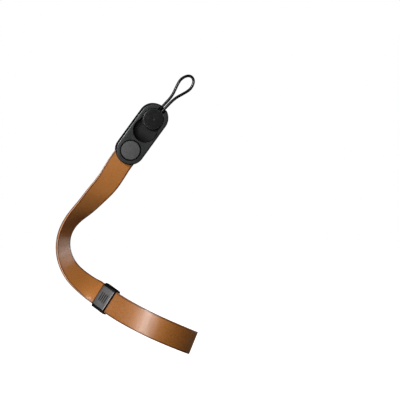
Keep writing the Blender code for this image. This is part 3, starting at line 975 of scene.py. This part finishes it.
def build_housing():
    """The oval housing with its keyhole, cap recess, cord notch, band slot and seam."""
    mesh = prism("housing_shell", stadium(0, HOUSING_SPAN, HOUSING_RADIUS), 0, HOUSING_DEPTH)
    shell = bevel(scene_object("housing_shell", mesh, housing_place), HOUSING_EDGE, HOUSING_EDGE_STEPS)
    over = HOUSING_DEPTH + CUT_OVERRUN
    cut(shell, [*keyhole_cutters(over), *cap_cutters(over), band_slot(), seam_ring()], housing_place)
    cut(shell, [cord_notch(over)], anchor_place)
    nylon = plain("black_nylon", (0.033, 0.034, 0.035), 0.42, grain=0.00035, strength=0.15)
    finish_piece(shell, "housing", nylon)
    # Painted shade: the walls and rounded edges take a far darker copy of the nylon.
    wall = plain("black_wall_painted_shade", (0.0025, 0.0025, 0.0027), 0.26, strength=0.08, gloss=0.40)
    shell.data.materials.append(wall)
    shell.data.materials.append(pocket_floor(ENTRY_PLACE - ENTRY_RADIUS))
    # The front keeps the nylon, the keyhole's floor has its own black, and all the rest is wall, a far
    # darker copy of the nylon as painted shade.
    for face in shell.data.polygons:
        at_floor = abs(face.center.z - KEYHOLE_FLOOR) < LEVEL_TOLERANCE
        in_front = face.center.z >= HOUSING_DEPTH - LEVEL_TOLERANCE
        face.material_index = 2 if at_floor and face.normal.z > UPWARD else int(not in_front)


def pocket_floor(start):
    """The pocket's black floor, with painted shade at its edge away from the anchor, paler towards the
    anchor.
    """
    made = Surface("black_floor", (0.012, 0.012, 0.0125), 0.42)
    made.set("Specular IOR Level", 0.25)
    # Painted shade, darkest at the pocket's edge away from the anchor
    out_of_shade = made.ramp(made.along(), start + POCKET_SHADE_FULL, start + POCKET_SHADE_GONE)
    made.join(made.mix(out_of_shade, (0.001, 0.001, 0.001), (0.024, 0.024, 0.0245)), "Base Color")
    return made.material


def build_cap():
    """The matte grey cap with a softly rounded rim."""
    low = HOUSING_DEPTH - CAP_THICKNESS
    centre = (CAP_RADIUS - CAP_EDGE, HOUSING_DEPTH - CAP_EDGE)
    rim = arc(centre, CAP_EDGE, math.pi / 2, 0, CAP_EDGE_STEPS)
    profile = [(0, HOUSING_DEPTH), *rim, (CAP_RADIUS, low), (0, low)]
    cap = scene_object("grey_cap", turned("grey_cap", profile), housing_place)
    grey = plain("grey_cap", (0.094, 0.094, 0.094), 0.62, grain=0.0004, strength=0.4)
    finish_piece(cap, "magnet_cap", grey)


def build_anchor():
    """The anchor disc: a flange, and a button with a painted highlight on its rim, and a dimple."""
    low = KEYHOLE_FLOOR + CLEARANCE
    step = low + FLANGE_THICKNESS
    top = step + BUTTON_HEIGHT
    inner = BUTTON_RADIUS - DISC_EDGE
    outer = FLANGE_RADIUS - DISC_EDGE
    rim = arc((inner, top - DISC_EDGE), DISC_EDGE, math.pi / 2, 0, BUTTON_EDGE_STEPS)
    flange = arc((outer, step - DISC_EDGE), DISC_EDGE, math.pi / 2, 0, FLANGE_EDGE_STEPS)
    under = arc((outer, low + DISC_EDGE), DISC_EDGE, 0, -math.pi / 2, FLANGE_EDGE_STEPS)
    dimple = [(0, top - DIMPLE_DEPTH), (DIMPLE_FLOOR, top - DIMPLE_DEPTH), (DIMPLE_RADIUS, top)]
    profile = [*dimple, *rim, (BUTTON_RADIUS, step), *flange, *under, (0, low)]
    disc = scene_object("anchor", turned("anchor", profile), anchor_place)
    black = plain("black_anchor", (0.016, 0.016, 0.0165), 0.30, strength=0.2)
    finish_piece(disc, "anchor_disc", black)
    # Painted highlight: the button's slanted rim is far paler than the disc.
    disc.data.materials.append(plain("rim_highlight", (0.090, 0.090, 0.092), 0.26))
    for face in disc.data.polygons:
        slanted = SIDEWAYS < face.normal.z < UPWARD
        face.material_index = int(slanted and face.center.z > top - DISC_EDGE)


# The cord


def cord_path():
    """Points along the anchor's cord, out round its loop and back, with their ways."""
    middle = KEYHOLE_FLOOR + CLEARANCE + FLANGE_THICKNESS / 2
    out = [(along, side, middle - sink) for along, side, sink in CORD_ROUTE]
    back = [(along, -side, height) for along, side, height in reversed(out[:-1])]
    points, ways = spline(out + back, (1, 0, 0), (-1, 0, 0), CORD_SPACING)
    turn = anchor_place.to_3x3()
    return [anchor_place @ Vector(point) for point in points], [turn @ Vector(way) for way in ways]


def build_cord():
    """The anchor's braided cord as a fine tube with a diamond relief."""
    points, ways = cord_path()
    reached = distances(points)
    shape = bmesh.new()
    rings = []
    side = anchor_place.to_3x3().col[2].normalized()
    for point, way, distance in zip(points, ways, reached):
        forward = way.normalized()
        side = (side - forward * side.dot(forward)).normalized()
        other = forward.cross(side)
        twist = 2 * math.pi * distance / CORD_BRAID_PITCH
        ring = []
        for step in range(CORD_SIDES):
            turn = 2 * math.pi * step / CORD_SIDES
            left = abs(math.sin(CORD_BRAID_TURNS / 2 * turn + twist))
            right = abs(math.sin(CORD_BRAID_TURNS / 2 * turn - twist))
            radius = CORD_DIAMETER / 2 * (1 - CORD_BRAID_DEPTH * (1 - max(left, right)))
            spoke = side * math.cos(turn) + other * math.sin(turn)
            ring.append(shape.verts.new(point + spoke * radius))
        rings.append(ring)
    add_skin(shape, rings)
    cord = scene_object("braided_cord", mesh_from(shape, "braided_cord"))
    black = plain("black_cord", (0.004, 0.004, 0.0045), 0.30, grain=0.0002, strength=0.3)
    finish_piece(cord, "anchor_cord", black, CORD_CREASE)


def build_rivet():
    """The hidden rivet keeps its solid and gets a steel finish."""
    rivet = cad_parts["slider_rivet"]
    rivet.data.materials.clear()
    rivet.data.materials.append(plain("dark_steel", (0.09, 0.09, 0.092), 0.35, metallic=1.0))


# Camera, floor and light


def build_camera():
    """A level camera in front of the strap."""
    data = bpy.data.cameras.new("camera")
    data.lens = CAMERA_LENS
    data.clip_end = CAMERA_REACH
    camera = scene_object("camera", data)
    camera.location = CAMERA_PLACE
    camera.rotation_euler = (math.pi / 2, 0, 0)
    bpy.context.scene.camera = camera


def build_floor():
    """A white floor, which the strap itself doesn't see."""
    mesh = cylinder("floor", FLOOR_RADIUS, FLOOR_LEVEL - FLOOR_THICKNESS, FLOOR_LEVEL)
    floor = scene_object("floor", mesh)
    pale = Surface("pale_floor", (0.85, 0.85, 0.85), 0.9)
    pale.set("Emission Color", (1, 1, 1, 1))
    pale.set("Emission Strength", 1.0)
    floor.data.materials.append(pale.material)
    floor.visible_diffuse = False
    floor.visible_glossy = False


def build_surround():
    """A surround that is white to the camera and dim to the strap."""
    world = bpy.data.worlds.new("surround")
    bpy.context.scene.world = world
    world.use_nodes = True
    nodes = world.node_tree.nodes
    links = world.node_tree.links
    seen = nodes.new("ShaderNodeBackground")
    seen.inputs["Color"].default_value = (1, 1, 1, 1)
    nodes["Background"].inputs["Color"].default_value = (1, 1, 1, 1)
    nodes["Background"].inputs["Strength"].default_value = SURROUND_STRENGTH
    rays = nodes.new("ShaderNodeLightPath")
    mixed = nodes.new("ShaderNodeMixShader")
    links.new(rays.outputs["Is Camera Ray"], mixed.inputs[0])
    links.new(nodes["Background"].outputs[0], mixed.inputs[1])
    links.new(seen.outputs[0], mixed.inputs[2])
    links.new(mixed.outputs[0], nodes["World Output"].inputs["Surface"])


def build_lights():
    """Square softboxes round the strap, all aimed at its middle."""
    middle = Vector(LIGHT_AIM)
    for name, side, back, up, distance, size, power in LIGHTS:
        data = bpy.data.lights.new(name, "AREA")
        data.size = size
        data.energy = power
        light = scene_object(name, data)
        toward = Vector((side, back, up)).normalized()
        light.location = middle + toward * distance
        light.rotation_euler = (-toward).to_track_quat("-Z", "Y").to_euler()


build_camera()
build_floor()
build_surround()
build_lights()
build_cord()
build_band()
build_slider_frame()
build_slider_plate()
build_housing()
build_cap()
build_anchor()
build_rivet()
bpy.context.scene.view_settings.view_transform = "Standard"
